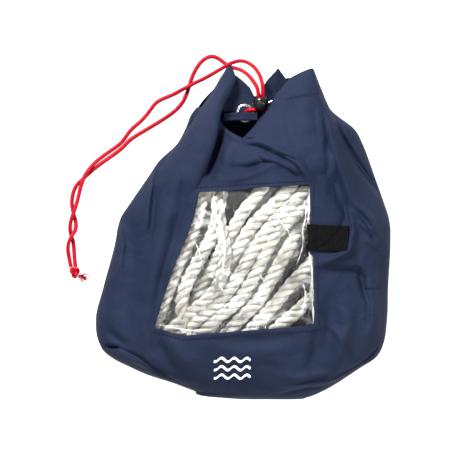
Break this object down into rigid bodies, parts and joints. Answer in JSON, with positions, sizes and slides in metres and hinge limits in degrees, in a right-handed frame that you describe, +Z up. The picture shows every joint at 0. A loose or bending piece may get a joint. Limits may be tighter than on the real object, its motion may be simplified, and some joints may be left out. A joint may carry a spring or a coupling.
{
  "type": "drawstring rope bag",
  "caption": "Navy cloth drawstring bag lying on its back, with a clear window, a coiled white rope inside, eyelets, red drawstring, ball cord lock and a hook-and-loop tab.",
  "frame": {"origin": "middle of the bag's footprint on the floor it lies on, the drawstring's free tails left out", "axes": "+Z up from the floor, +Y from the base towards the gathered mouth, +X to the right as the window is seen from above"},
  "size_m": [0.3285, 0.3483, 0.0774],
  "materials": {
    "bag_cloth": "coated woven nylon",
    "webbing": "woven tape",
    "clear_film": "clear flexible film",
    "eyelet_metal": "nickel plated",
    "drawstring_red": "braided cord",
    "lock_plastic": "moulded",
    "spring_steel": "bright",
    "hook_loop": "hook-and-loop tape",
    "rope_white": "three-strand twisted",
    "embroidery_white": "embroidery thread"
  },
  "bodies": {
    "bag": {"front_panel": "bag_cloth", "back_panel": "bag_cloth", "base_panel": "bag_cloth", "mouth_hem": "bag_cloth", "window_film": "clear_film", "window_binding": "webbing", "eyelets": "eyelet_metal", "eyelet_washers": "eyelet_metal", "drawstring_ring": "drawstring_red", "drawstring_tail_left": "drawstring_red", "drawstring_tail_right": "drawstring_red", "drawstring_knot": "drawstring_red", "closure_loop_patch": "hook_loop", "side_patch": "bag_cloth", "embroidered_motif": "embroidery_white", "side_seam_tape": "webbing", "base_seam_binding": "webbing", "rope_coil": "rope_white", "rope_whippings": "webbing"},
    "cord_lock": {"cord_lock_body": "lock_plastic", "cord_lock_spring": "spring_steel"},
    "lock_button": {"cord_lock_plunger": "lock_plastic"},
    "closure_tab": {"closure_tab": "hook_loop"},
    "mouth_tab": {"mouth_tab": "webbing"}
  },
  "joints": [
    {"name": "cord_lock_slide", "type": "slide", "parent": "bag", "child": "cord_lock", "axis": [0, 0.766, 0.6428], "range_m": [0, 0.008], "deforming": ["drawstring_tail_left", "drawstring_tail_right"]},
    {"name": "lock_button_press", "type": "slide", "parent": "cord_lock", "child": "lock_button", "axis": [0, 0.6428, -0.766], "range_m": [0, 0.002], "stiffness_N_per_m": 800, "springref_m": -0.002, "deforming": ["cord_lock_spring"]},
    {"name": "closure_tab_peel", "type": "hinge", "parent": "bag", "child": "closure_tab", "pos_m": [0.0645, -0.0045, 0.0735], "axis": [0, -1, 0], "range_deg": [0, 85]},
    {"name": "mouth_tab_lift", "type": "hinge", "parent": "bag", "child": "mouth_tab", "pos_m": [-0.0195, 0.1165, 0.038], "axis": [0, -1, 0], "range_deg": [0, 70]}
  ]
}
